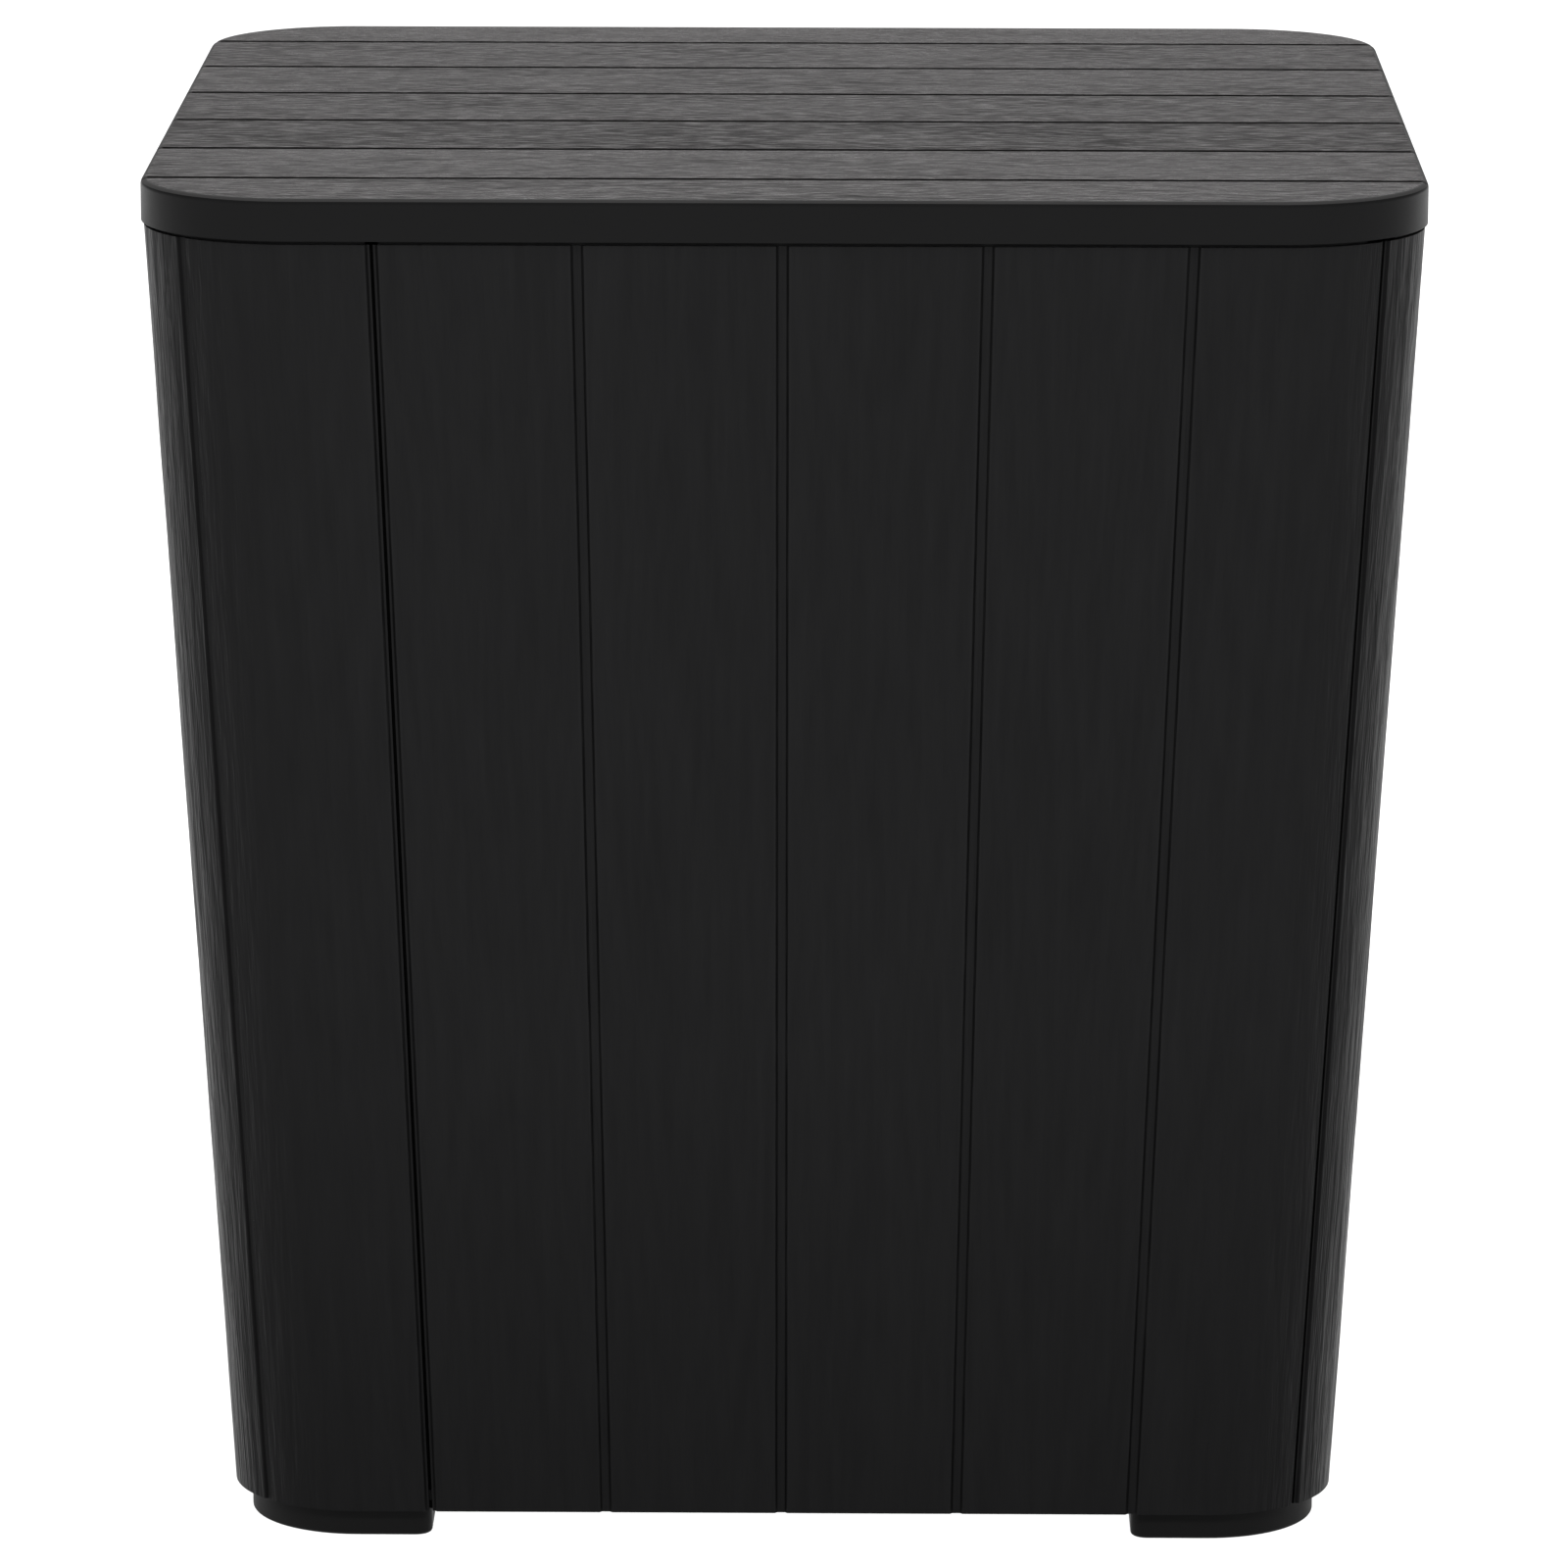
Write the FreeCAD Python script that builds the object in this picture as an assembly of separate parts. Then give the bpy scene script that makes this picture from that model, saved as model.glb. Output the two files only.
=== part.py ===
import FreeCAD, Part
import math
import os

# Garden storage table: a square resin box on four feet, with leaning plank-pattern walls in four
# panels and a flat plank-pattern lid that turns on two hinges at the back.
# Millimetres. +Z is up, the front faces -Y, and the origin is on the floor under the box's centre.

Vector = FreeCAD.Vector
Placement = FreeCAD.Placement
Rotation = FreeCAD.Rotation
ALONG_X = Vector(1, 0, 0)
UP = Vector(0, 0, 1)

# Overall sizes
LID_WIDTH = 460.0
TOTAL_HEIGHT = 500.0
LEAN_IN = 26.5                  # bottom of each wall, inside its top
CORNER_RADIUS = 54.5            # outside corner of the walls at their top
LID_OVERHANG = 1.0              # lid beyond the top of the walls
RIM_HEIGHT = 15.5               # visible edge of the lid
SHADOW_GAP = 1.2                # height of the recess between walls and lid
FOOT_HEIGHT = 11.0

# Plank pattern: plank lines are counted along the walls from the front's middle, to the right
PLANKS_PER_SIDE = 6
GROOVE_WIDTH = 4.6
GROOVE_SIDE = 0.9               # width of each sloping side of a groove
GROOVE_DEPTH = 1.0
CORNER_SEAM_LINE = PLANKS_PER_SIDE // 2
FRONT_SEAM_LINE = CORNER_SEAM_LINE - 1   # left of the front's middle, one plank from the corner
HALF_TURN_LINES = 2 * PLANKS_PER_SIDE

# Wall panels and the sliding joints between them
WALL = 4.0
SEAM_GAP = 1.2
JOINT_CLEARANCE = 0.3
TONGUE = 2.4                    # thickness of a joint's tongue
TONGUE_REACH = 8.0              # tongue behind the next panel
TONGUE_ROOT = 6.0               # tongue behind its own panel
HOOK = 2.4                      # thickness of the hook that holds the tongue
HOOK_LIP = 5.0
JOINT_MARGIN = 2.0              # flanges stay this far from a joint
NECK_OUTER = 1.8                # depth of the recess between walls and lid
NECK_INNER = 0.4                # neck's step from the walls' inside
NECK_ROOT = 2.0                 # how far the neck reaches down into the walls
TOP_FLANGE = 8.0
TOP_FLANGE_THICKNESS = 4.0
TOP_FLANGE_DROP = 4.0           # flange below the walls' top
BOTTOM_FLANGE = 14.0
BOTTOM_FLANGE_THICKNESS = 3.0
FLANGE_ROOT = 1.0               # how far a flange reaches into its wall

# Floor panel
FLOOR = 4.0
FLOOR_CLEARANCE = 0.5           # floor to walls
FLOOR_REBATE = 0.5              # shallow seat cut into the walls at the floor
FLOOR_RIB = 2.0
FLOOR_RIB_DEPTH = 2.5
FLOOR_RIB_MARGIN = 2.0          # ribs to the flanges

# Feet
FOOT_INSET = 6.2
FOOT_CORNER_RADIUS = 40.6
FOOT_INNER_RADIUS = 6.0
FOOT_EDGE_ROUND = 1.2
FOOT_WALL = 3.0
FOOT_BASE = 3.0
FOOT_LINE = 2                   # a foot ends at this plank line
FOOT_BOSS_RADIUS = 5.0
FOOT_SCREW_SETBACK = 12.5       # from the outside of the wall
FOOT_SCREW_ALONG = 20.0         # from the end of the foot

# Lid
LID_EDGE_ROUND = 2.5
LID_SKIN = 3.5
RIM = 4.0
LID_RIB = 2.0
LID_RIB_CLEARANCE = 0.5         # ribs to the liner
LINER = 2.5
LINER_LIFT = 1.5                # liner above the rim's lower edge
LINER_CLEARANCE = 0.8           # liner to the rim
LIP = 2.5
LIP_DEPTH = 8.0
LIP_CLEARANCE = 3.0             # lip to the walls' top flange
BOSS_RADIUS = 4.5
BOSS_LINE = 2                   # screws at this plank line, and on the lid's middle

# Hinges
HINGE_LINE = 1.5                # hinges stand on the middle of this plank
HINGE_WIDTH = 46.0
LEAF = 2.0
WALL_LEAF_HEIGHT = 30.0
LEAF_CORNER_RADIUS = 5.0
LEAF_GAP = 0.5                  # leaf to the parting line
LID_LEAF_LOW = 5.0              # wide part of the lid leaf, above the parting line
LID_LEAF_MARGIN = 1.5           # lid leaf below the lid's top
BARREL_RADIUS = 3.4
BARREL_CLEARANCE = 0.4          # barrel to the lid's back face
KNUCKLE = 14.0                  # length of each wall knuckle
KNUCKLE_GAP = 0.3
PIN_RADIUS = 1.6
PIN_CLEARANCE = 0.05            # pin in the lid's knuckle
PIN_HEAD_RADIUS = 2.6
PIN_HEAD = 1.2
OPEN_ANGLE = 105.0
STOP_CLEARANCE = 0.3            # stop shoulder to the open lid
HINGE_PAD = 6.0                 # pad inside the wall behind a leaf
HINGE_PAD_MARGIN = 2.0          # pad beyond the leaf's sides
HINGE_PAD_LOW = 28.0
HINGE_PAD_HIGH = 8.0
HINGE_BLOCK = 10.0              # block inside the rim behind a lid leaf
WALL_SCREW_DROP = 19.0          # wall screws below the parting line
HINGE_SCREW_SPREAD = 30.0       # between the two screws of a leaf

# Screws, with radii of their shanks and how far they bite into the piece that they hold to
FOOT_SCREW_RADIUS = 2.0
FOOT_SCREW_BITE = 7.0
HINGE_SCREW_RADIUS = 1.5
WALL_SCREW_BITE = 4.0
LID_SCREW_BITE = 5.0
LINER_SCREW_RADIUS = 1.5
SCREW_HEAD_RATIO = 2.0          # head radius to shank radius
SCREW_HEAD_HEIGHT_RATIO = 1.1   # head height to shank radius
SCREW_CLEARANCE = 0.1
SCREW_TIP_ROOM = 0.5            # hole beyond a screw's tip
RECESS_WIDTH_RATIO = 0.4        # cross recess, in shank radii
RECESS_LENGTH_RATIO = 2.4
RECESS_DEPTH_RATIO = 0.5

# Heights and half widths that follow from these
PLANKS_PER_HALF = PLANKS_PER_SIDE / 2
LID_HALF = LID_WIDTH / 2
TOP_HALF = LID_HALF - LID_OVERHANG
BOTTOM_HALF = TOP_HALF - LEAN_IN
WALL_BOTTOM_Z = FOOT_HEIGHT
PARTING_Z = TOTAL_HEIGHT - RIM_HEIGHT
WALL_TOP_Z = PARTING_Z - SHADOW_GAP
LEAN = math.atan(LEAN_IN / (WALL_TOP_Z - WALL_BOTTOM_Z))
FLOOR_Z = WALL_BOTTOM_Z + BOTTOM_FLANGE_THICKNESS
FLOOR_TOP_Z = FLOOR_Z + FLOOR
LID_RADIUS = CORNER_RADIUS + LID_OVERHANG
SKIN_Z = TOTAL_HEIGHT - LID_SKIN
LINER_Z = PARTING_Z + LINER_LIFT
LINER_TOP_Z = LINER_Z + LINER
HOOK_FRONT = WALL + TONGUE + 2 * JOINT_CLEARANCE
HOOK_RIB = TONGUE_REACH + JOINT_CLEARANCE
JOINT_END = HOOK_RIB + HOOK + JOINT_MARGIN
AXIS_OFFSET = BARREL_RADIUS + BARREL_CLEARANCE
AXIS_Y = LID_HALF + AXIS_OFFSET
AXIS_Z = PARTING_Z
LID_KNUCKLE = HINGE_WIDTH - 2 * KNUCKLE - 2 * KNUCKLE_GAP

# Screws as (shank radius, length under the head)
FOOT_SCREW = FOOT_SCREW_RADIUS, FLOOR + BOTTOM_FLANGE_THICKNESS + FOOT_SCREW_BITE
HINGE_WALL_SCREW = HINGE_SCREW_RADIUS, LEAF + WALL + WALL_SCREW_BITE
HINGE_LID_SCREW = HINGE_SCREW_RADIUS, LEAF + RIM + LID_SCREW_BITE
LINER_SCREW = LINER_SCREW_RADIUS, SKIN_Z - SCREW_TIP_ROOM - LINER_Z


def section(z):
    """Half width, corner radius, half flat length and plank pitch of the walls' outside at height z."""
    half = TOP_HALF - (WALL_TOP_Z - z) * math.tan(LEAN)
    radius = CORNER_RADIUS * half / TOP_HALF
    flat = half - radius
    pitch = (flat + radius * math.pi / 4) / PLANKS_PER_HALF
    return half, radius, flat, pitch


TOP_PITCH = section(WALL_TOP_Z)[3]
BOTTOM_PITCH = section(WALL_BOTTOM_Z)[3]
HINGE_X = HINGE_LINE * TOP_PITCH
FOOT_NEAR = FOOT_LINE * BOTTOM_PITCH
FOOT_FAR = BOTTOM_HALF - FOOT_INSET


def wall_point(z, along, depth):
    """The point a distance along the walls' outline from the front's middle, and a depth inside it."""
    half, radius, flat, pitch = section(z)
    face = round(along / (PLANKS_PER_SIDE * pitch))
    offset = along - face * PLANKS_PER_SIDE * pitch
    reach = abs(offset)
    if reach <= flat:
        x, y = reach, depth - half
    else:
        angle = (reach - flat) / radius
        x = flat + (radius - depth) * math.sin(angle)
        y = -flat - (radius - depth) * math.cos(angle)
    return Rotation(UP, 90 * face).multVec(Vector(math.copysign(x, offset), y, z))


def edges_along(z, start, end, depth):
    """Edges at one depth between two places along the outline, split where flats meet round corners."""
    half, radius, flat, pitch = section(z)
    side = PLANKS_PER_SIDE * pitch
    low, high = min(start, end), max(start, end)
    faces = range(math.floor(low / side) - 1, math.ceil(high / side) + 2)
    breaks = sorted(face * side + reach for face in faces for reach in (-flat, flat))
    places = [low] + [place for place in breaks if low < place < high] + [high]
    if end < start:
        places.reverse()
    edges = []
    for first, last in zip(places, places[1:]):
        ends = [wall_point(z, place, depth) for place in (first, last)]
        middle = wall_point(z, (first + last) / 2, depth)
        sag = middle.distanceToPoint((ends[0] + ends[1]) / 2)
        if sag < 1e-6:
            edges.append(Part.makeLine(*ends))
        else:
            edges.append(Part.Arc(ends[0], middle, ends[1]).toShape())
    return edges


def outline_wire(z, corners):
    """Closed wire at height z through corners given as (plank line, shift along, depth)."""
    pitch = section(z)[3]
    edges = []
    for corner, following in zip(corners, corners[1:] + corners[:1]):
        start = corner[0] * pitch + corner[1]
        end = following[0] * pitch + following[1]
        if corner[2] == following[2]:
            edges += edges_along(z, start, end, corner[2])
        else:
            ends = wall_point(z, start, corner[2]), wall_point(z, end, following[2])
            edges.append(Part.makeLine(*ends))
    return Part.Wire(edges)


def prism(wire, height):
    return Part.Face(wire).extrude(Vector(0, 0, height))


def wall_band(first, last, margin, depths, z, height):
    """Upright band between two plank lines, kept a margin from both, between two depths."""
    outer, inner = depths
    corners = [(first, margin, outer), (last, -margin, outer), (last, -margin, inner), (first, margin, inner)]
    return prism(outline_wire(z, corners), height)


def rounded_square(half, radius, z):
    """Square wire with round corners, centred on the Z axis."""
    flat = half - radius
    bulge = flat + radius * math.sqrt(0.5)
    edges = []
    for quarter in range(4):
        turn = Rotation(UP, 90 * quarter)
        corner = [Vector(half, flat, z), Vector(bulge, bulge, z), Vector(flat, half, z)]
        start, middle, end = [turn.multVec(point) for point in corner]
        edges.append(Part.makeLine(turn.multVec(Vector(half, -flat, z)), start))
        edges.append(Part.Arc(start, middle, end).toShape())
    return Part.Wire(edges)


def inset_prism(z, inset, height):
    """Upright prism whose outline is the walls' outline at height z, moved in by an inset."""
    half, radius = section(z)[:2]
    return prism(rounded_square(half - inset, radius - inset, z), height)


def lid_prism(inset, z, height):
    return prism(rounded_square(LID_HALF - inset, LID_RADIUS - inset, z), height)


def box(x_range, y_range, z_range):
    sizes = [high - low for low, high in (x_range, y_range, z_range)]
    return Part.makeBox(*sizes, Vector(x_range[0], y_range[0], z_range[0]))


def rod(radius, start, end):
    return Part.makeCylinder(radius, start.distanceToPoint(end), start, end - start)


def join(first, others):
    return first.fuse(others).removeSplitter()


def screw(kind):
    """Screw along -Z with its head's seat at the origin and a cross recess in the head."""
    radius, length = kind
    head = radius * SCREW_HEAD_HEIGHT_RATIO
    shank = rod(radius, Vector(0, 0, -length), Vector(0, 0, 0))
    body = join(shank, [rod(radius * SCREW_HEAD_RATIO, Vector(0, 0, 0), Vector(0, 0, head))])
    long = -radius * RECESS_LENGTH_RATIO / 2, radius * RECESS_LENGTH_RATIO / 2
    wide = -radius * RECESS_WIDTH_RATIO / 2, radius * RECESS_WIDTH_RATIO / 2
    deep = head - radius * RECESS_DEPTH_RATIO, head + radius
    return body.cut(box(long, wide, deep).fuse(box(wide, long, deep)))


def screw_hole(kind):
    """The hole that takes a screw's shank, along -Z from the origin."""
    radius, length = kind
    return rod(radius + SCREW_CLEARANCE, Vector(0, 0, -length - SCREW_TIP_ROOM), Vector(0, 0, SCREW_TIP_ROOM))


def place_all(shape, placements):
    copies = []
    for placement in placements:
        copy = shape.copy()
        copy.Placement = placement
        copies.append(copy)
    return copies


# Places of the screws and hinges

def foot_screw_points():
    """Two screws to the front-right foot, one over each of its outer sides, as (x, y)."""
    along = FOOT_NEAR + FOOT_SCREW_ALONG
    across = BOTTOM_HALF - FOOT_SCREW_SETBACK
    return [(along, -across), (across, -along)]


def foot_screw_places():
    """The screws of all four feet, heads on the floor panel."""
    quarters = [Rotation(UP, 90 * quarter) for quarter in range(4)]
    return [Placement(turn.multVec(Vector(x, y, FLOOR_TOP_Z)), turn)
            for turn in quarters for x, y in foot_screw_points()]


def wall_frame(x):
    """Frame on the back wall's outside at the parting line: X along, Y out of the wall, Z up the wall."""
    half = section(PARTING_Z)[0]
    return Placement(Vector(x, half, PARTING_Z), Rotation(ALONG_X, -math.degrees(LEAN)))


def spread():
    return (-HINGE_SCREW_SPREAD / 2, HINGE_SCREW_SPREAD / 2)


def hinge_wall_screw_places():
    """Screws square to the leaning wall, heads on the wall leaves."""
    facing = Rotation(ALONG_X, -90)
    places = []
    for x in (-HINGE_X, HINGE_X):
        for shift in spread():
            local = Placement(Vector(shift, LEAF, -WALL_SCREW_DROP), facing)
            places.append(wall_frame(x).multiply(local))
    return places


def lid_leaf_span():
    return LID_LEAF_LOW, RIM_HEIGHT - LID_LEAF_MARGIN


def hinge_lid_screw_places():
    """Level screws into the lid's rim, heads on the lid leaves."""
    facing = Rotation(ALONG_X, -90)
    z = PARTING_Z + sum(lid_leaf_span()) / 2
    return [Placement(Vector(x + shift, LID_HALF + LEAF, z), facing)
            for x in (-HINGE_X, HINGE_X) for shift in spread()]


def lid_groove_places():
    """Grooves of the lid lie half a pitch to either side of its middle, then one pitch apart."""
    count = int(PLANKS_PER_HALF)
    return [sign * (step + 0.5) * TOP_PITCH for step in range(count) for sign in (-1, 1)]


def liner_screw_places():
    """Screws up into the lid, in two rows under its outermost grooves."""
    rows = max(lid_groove_places())
    facing = Rotation(ALONG_X, 180)
    return [Placement(Vector(line * TOP_PITCH, y, LINER_Z), facing)
            for line in (-BOSS_LINE, 0, BOSS_LINE) for y in (-rows, rows)]


# Wall panels

def seam_edge():
    """A panel's edge at a seam: half a groove, as (shift into the panel, depth)."""
    return [(GROOVE_WIDTH / 2, 0), (GROOVE_WIDTH / 2 - GROOVE_SIDE, GROOVE_DEPTH), (SEAM_GAP / 2, GROOVE_DEPTH)]


def tongue_end():
    front = WALL + JOINT_CLEARANCE
    root = SEAM_GAP / 2 + TONGUE_ROOT
    return seam_edge() + [(SEAM_GAP / 2, front), (-TONGUE_REACH, front), (-TONGUE_REACH, front + TONGUE),
                          (root, front + TONGUE), (root, WALL)]


def channel_end():
    back = HOOK_FRONT + HOOK
    lip = HOOK_RIB - HOOK_LIP
    return seam_edge() + [(SEAM_GAP / 2, WALL), (HOOK_RIB, WALL), (HOOK_RIB, HOOK_FRONT), (lip, HOOK_FRONT),
                          (lip, back), (HOOK_RIB + HOOK, back), (HOOK_RIB + HOOK, WALL)]


def groove(line):
    half = GROOVE_WIDTH / 2
    floor = half - GROOVE_SIDE
    return [(line, -half, 0), (line, -floor, GROOVE_DEPTH), (line, floor, GROOVE_DEPTH), (line, half, 0)]


def wall_panel(first, last, end_profile):
    """Panel between two seams: leaning grooved wall with a joint at each end, neck and two flanges."""
    corners = [corner for line in range(first + 1, last) for corner in groove(line)]
    corners += [(last, -shift, depth) for shift, depth in end_profile]
    corners += [(first, shift, depth) for shift, depth in reversed(end_profile)]
    wires = [outline_wire(z, corners) for z in (WALL_BOTTOM_Z, WALL_TOP_Z)]
    panel = Part.makeLoft(wires, True, True)
    panel = panel.cut(inset_prism(FLOOR_Z, WALL - FLOOR_REBATE, FLOOR + FLOOR_CLEARANCE))
    neck_z = WALL_TOP_Z - NECK_ROOT
    neck_depths = NECK_OUTER, WALL - NECK_INNER
    flange_z = WALL_TOP_Z - TOP_FLANGE_DROP - TOP_FLANGE_THICKNESS
    root = WALL - FLANGE_ROOT
    neck = wall_band(first, last, GROOVE_WIDTH / 2, neck_depths, neck_z, PARTING_Z - neck_z)
    top_flange = wall_band(first, last, JOINT_END, (root, WALL + TOP_FLANGE), flange_z, TOP_FLANGE_THICKNESS)
    bottom_flange = wall_band(first, last, JOINT_END, (root, WALL + BOTTOM_FLANGE), WALL_BOTTOM_Z,
                              BOTTOM_FLANGE_THICKNESS)
    panel = join(panel, [neck, top_flange, bottom_flange])
    return panel.cut(place_all(screw_hole(FOOT_SCREW), foot_screw_places()))


def hinge_pad(x):
    """Thick pad inside the back wall that takes the screws of a wall leaf."""
    reach = HINGE_WIDTH / 2 + HINGE_PAD_MARGIN
    pad = box((-reach, reach), (-WALL - HINGE_PAD, FLANGE_ROOT - WALL), (-HINGE_PAD_LOW, -HINGE_PAD_HIGH))
    pad.Placement = wall_frame(x)
    return pad


def back_panel(first, last):
    panel = join(wall_panel(first, last, channel_end()), [hinge_pad(-HINGE_X), hinge_pad(HINGE_X)])
    return panel.cut(place_all(screw_hole(HINGE_WALL_SCREW), hinge_wall_screw_places()))


def wall_panels():
    front_first, front_last = -FRONT_SEAM_LINE, CORNER_SEAM_LINE
    back_first, back_last = front_first + HALF_TURN_LINES, front_last + HALF_TURN_LINES
    return {
        "front_panel": wall_panel(front_first, front_last, channel_end()),
        "right_panel": wall_panel(front_last, back_first, tongue_end()),
        "back_panel": back_panel(back_first, back_last),
        "left_panel": wall_panel(back_last, front_first + 2 * HALF_TURN_LINES, tongue_end()),
    }


# Floor and feet

def floor_panel():
    plate = inset_prism(FLOOR_Z, WALL + FLOOR_CLEARANCE, FLOOR)
    reach = BOTTOM_HALF - WALL - BOTTOM_FLANGE - FLOOR_RIB_MARGIN
    depth = FLOOR_Z - FLOOR_RIB_DEPTH, FLOOR_Z + FLOOR / 2
    ribs = []
    for line in range(1 - CORNER_SEAM_LINE, CORNER_SEAM_LINE):
        across = line * BOTTOM_PITCH - FLOOR_RIB / 2, line * BOTTOM_PITCH + FLOOR_RIB / 2
        ribs += [box((-reach, reach), across, depth), box(across, (-reach, reach), depth)]
    floor = join(plate, ribs)
    return floor.cut(place_all(screw_hole(FOOT_SCREW), foot_screw_places()))


def foot_block(inset, z):
    """Block of the front-right foot: square to the walls, with one large round corner outside."""
    near, far = FOOT_NEAR + inset, FOOT_FAR - inset
    radius = FOOT_CORNER_RADIUS - inset
    bulge = far - radius * (1 - math.sqrt(0.5))
    arc = Part.Arc(Vector(far - radius, -far, z), Vector(bulge, -bulge, z), Vector(far, radius - far, z))
    path = [Vector(far, radius - far, z), Vector(far, -near, z), Vector(near, -near, z),
            Vector(near, -far, z), Vector(far - radius, -far, z)]
    lines = [Part.makeLine(*ends) for ends in zip(path, path[1:])]
    block = prism(Part.Wire([arc.toShape()] + lines), FOOT_HEIGHT)
    sharp = [edge for edge in block.Edges if stands_over(edge, path[1:4])]
    return block.makeFillet(FOOT_INNER_RADIUS, sharp)


def stands_over(edge, points):
    """Whether an edge stands upright over one of some points."""
    centre, extent = edge.CenterOfMass, edge.BoundBox
    upright = extent.ZLength > extent.XLength + extent.YLength
    return upright and any(math.hypot(centre.x - point.x, centre.y - point.y) < 1e-6 for point in points)


def front_right_foot():
    """Cup-shaped foot, open upwards, with a boss under each screw."""
    shell = foot_block(0, 0)
    underside = [edge for edge in shell.Edges if edge.BoundBox.ZMax < 1e-6]
    shell = shell.makeFillet(FOOT_EDGE_ROUND, underside)
    shell = shell.cut(foot_block(FOOT_WALL, FOOT_BASE))
    bosses = [rod(FOOT_BOSS_RADIUS, Vector(x, y, FOOT_BASE / 2), Vector(x, y, FOOT_HEIGHT))
              for x, y in foot_screw_points()]
    bosses = [boss.common(foot_block(FOOT_WALL / 2, 0)) for boss in bosses]
    foot = join(shell, bosses)
    return foot.cut(place_all(screw_hole(FOOT_SCREW), foot_screw_places()))


def feet():
    names = ["foot_front_right", "foot_back_right", "foot_back_left", "foot_front_left"]
    shapes = {}
    for quarter, name in enumerate(names):
        foot = front_right_foot()
        foot.rotate(Vector(0, 0, 0), UP, 90 * quarter)
        shapes[name] = foot
    return shapes


# Lid

def lid_groove(y):
    """Groove across the whole lid, wider at the top by its two sloping sides."""
    half = GROOVE_WIDTH / 2
    floor = half - GROOVE_SIDE
    slope = GROOVE_DEPTH / GROOVE_SIDE
    above = GROOVE_DEPTH
    top = half + above / slope
    low, high = TOTAL_HEIGHT - GROOVE_DEPTH, TOTAL_HEIGHT + above
    corners = [(-floor, low), (floor, low), (top, high), (-top, high), (-floor, low)]
    wire = Part.makePolygon([Vector(-LID_HALF, y + shift, z) for shift, z in corners])
    return Part.Face(wire).extrude(Vector(LID_WIDTH, 0, 0))


def lid_ribs():
    """Ribs under every groove and under every second plank line across them."""
    depth = LINER_TOP_Z + LID_RIB_CLEARANCE, SKIN_Z + LID_SKIN / 4
    full = (-LID_HALF, LID_HALF)
    ribs = []
    for y in lid_groove_places():
        ribs.append(box(full, (y - LID_RIB / 2, y + LID_RIB / 2), depth))
    for line in (-BOSS_LINE, 0, BOSS_LINE):
        x = line * TOP_PITCH
        ribs.append(box((x - LID_RIB / 2, x + LID_RIB / 2), full, depth))
    trim = lid_prism(RIM / 2, PARTING_Z, TOTAL_HEIGHT)
    return [rib.common(trim) for rib in ribs]


def lid_bosses():
    bosses = []
    for place in liner_screw_places():
        centre = place.Base
        bosses.append(rod(BOSS_RADIUS, Vector(centre.x, centre.y, LINER_TOP_Z),
                          Vector(centre.x, centre.y, SKIN_Z + LID_SKIN / 4)))
    return bosses


def hinge_blocks():
    reach = HINGE_WIDTH / 2 + HINGE_PAD_MARGIN
    depth = LID_HALF - RIM - HINGE_BLOCK, LID_HALF - RIM / 2
    height = LINER_TOP_Z + LID_RIB_CLEARANCE, SKIN_Z + LID_SKIN / 4
    return [box((x - reach, x + reach), depth, height) for x in (-HINGE_X, HINGE_X)]


def lid_top():
    lid = lid_prism(0, PARTING_Z, RIM_HEIGHT)
    top_edges = [edge for edge in lid.Edges if edge.BoundBox.ZMin > TOTAL_HEIGHT - 1e-6]
    lid = lid.makeFillet(LID_EDGE_ROUND, top_edges)
    lid = lid.cut(lid_prism(RIM, PARTING_Z, RIM_HEIGHT - LID_SKIN))
    lid = join(lid, lid_ribs() + lid_bosses() + hinge_blocks())
    lid = lid.cut([lid_groove(y) for y in lid_groove_places()])
    holes = place_all(screw_hole(LINER_SCREW), liner_screw_places())
    return lid.cut(holes + place_all(screw_hole(HINGE_LID_SCREW), hinge_lid_screw_places()))


def lid_liner():
    plate = lid_prism(RIM + LINER_CLEARANCE, LINER_Z, LINER)
    inset = WALL + TOP_FLANGE + LIP_CLEARANCE
    half, radius = section(WALL_TOP_Z)[:2]
    low = LINER_Z - LIP_DEPTH
    height = LIP_DEPTH + LINER / 2
    lip = prism(rounded_square(half - inset, radius - inset, low), height)
    lip = lip.cut(prism(rounded_square(half - inset - LIP, radius - inset - LIP, low), height))
    liner = join(plate, [lip])
    return liner.cut(place_all(screw_hole(LINER_SCREW), liner_screw_places()))


# Hinges, around an axis at the parting line just behind the lid

def axis_point(x, out=0, up=0):
    return Vector(x, AXIS_Y + out, AXIS_Z + up)


def side_prism(points, start, end):
    """Prism along X over a polygon of (out, up) points around the hinge axis."""
    wire = Part.makePolygon([axis_point(start, *point) for point in points + points[:1]])
    return Part.Face(wire).extrude(Vector(end - start, 0, 0))


def stop_shoulder(start, end):
    """Shoulder on a wall knuckle whose flat top meets the lid's back face when the lid is open."""
    rest = math.radians(180 - OPEN_ANGLE)
    reach = AXIS_OFFSET - STOP_CLEARANCE
    foot = (reach * math.cos(rest), reach * math.sin(rest))
    nose = (AXIS_OFFSET, (reach - AXIS_OFFSET * math.cos(rest)) / math.sin(rest))
    return side_prism([(0, 0), foot, nose, (AXIS_OFFSET, -BARREL_RADIUS / 3), (0, -BARREL_RADIUS)], start, end)


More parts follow.
